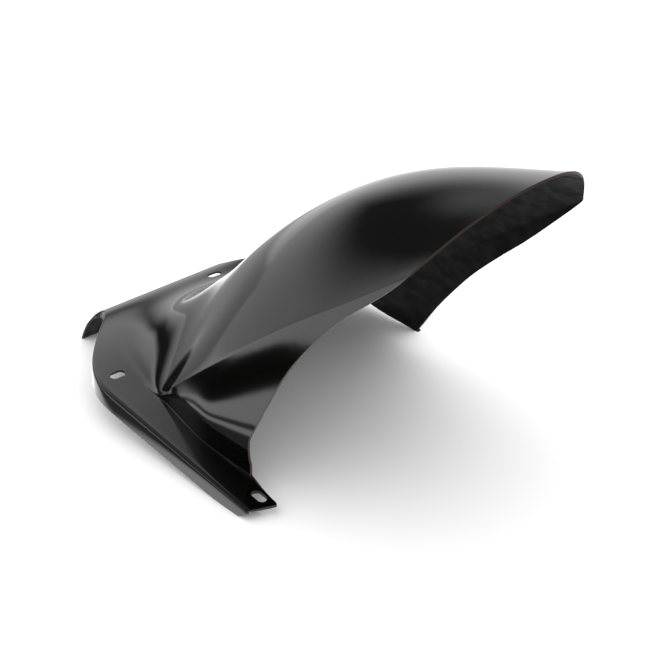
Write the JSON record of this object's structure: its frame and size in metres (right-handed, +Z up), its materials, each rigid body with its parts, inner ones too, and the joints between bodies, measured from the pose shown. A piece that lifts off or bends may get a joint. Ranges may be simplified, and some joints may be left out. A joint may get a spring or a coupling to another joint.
{
  "type": "motorcycle rear fender",
  "caption": "Moulded rear mudguard with an arched crown between side walls, flat slotted flanges with a turned-down lip, and a bent apron in front.",
  "frame": {"origin": "on the floor below the middle of the part's overall length and width", "axes": "+X to the rear of the motorcycle, +Y to its right, +Z up"},
  "size_m": [0.4527, 0.2954, 0.288],
  "materials": {
    "shell": "gloss black outside, rough black inside"
  },
  "bodies": {
    "root": {"rear_fender": "shell"}
  },
  "joints": []
}
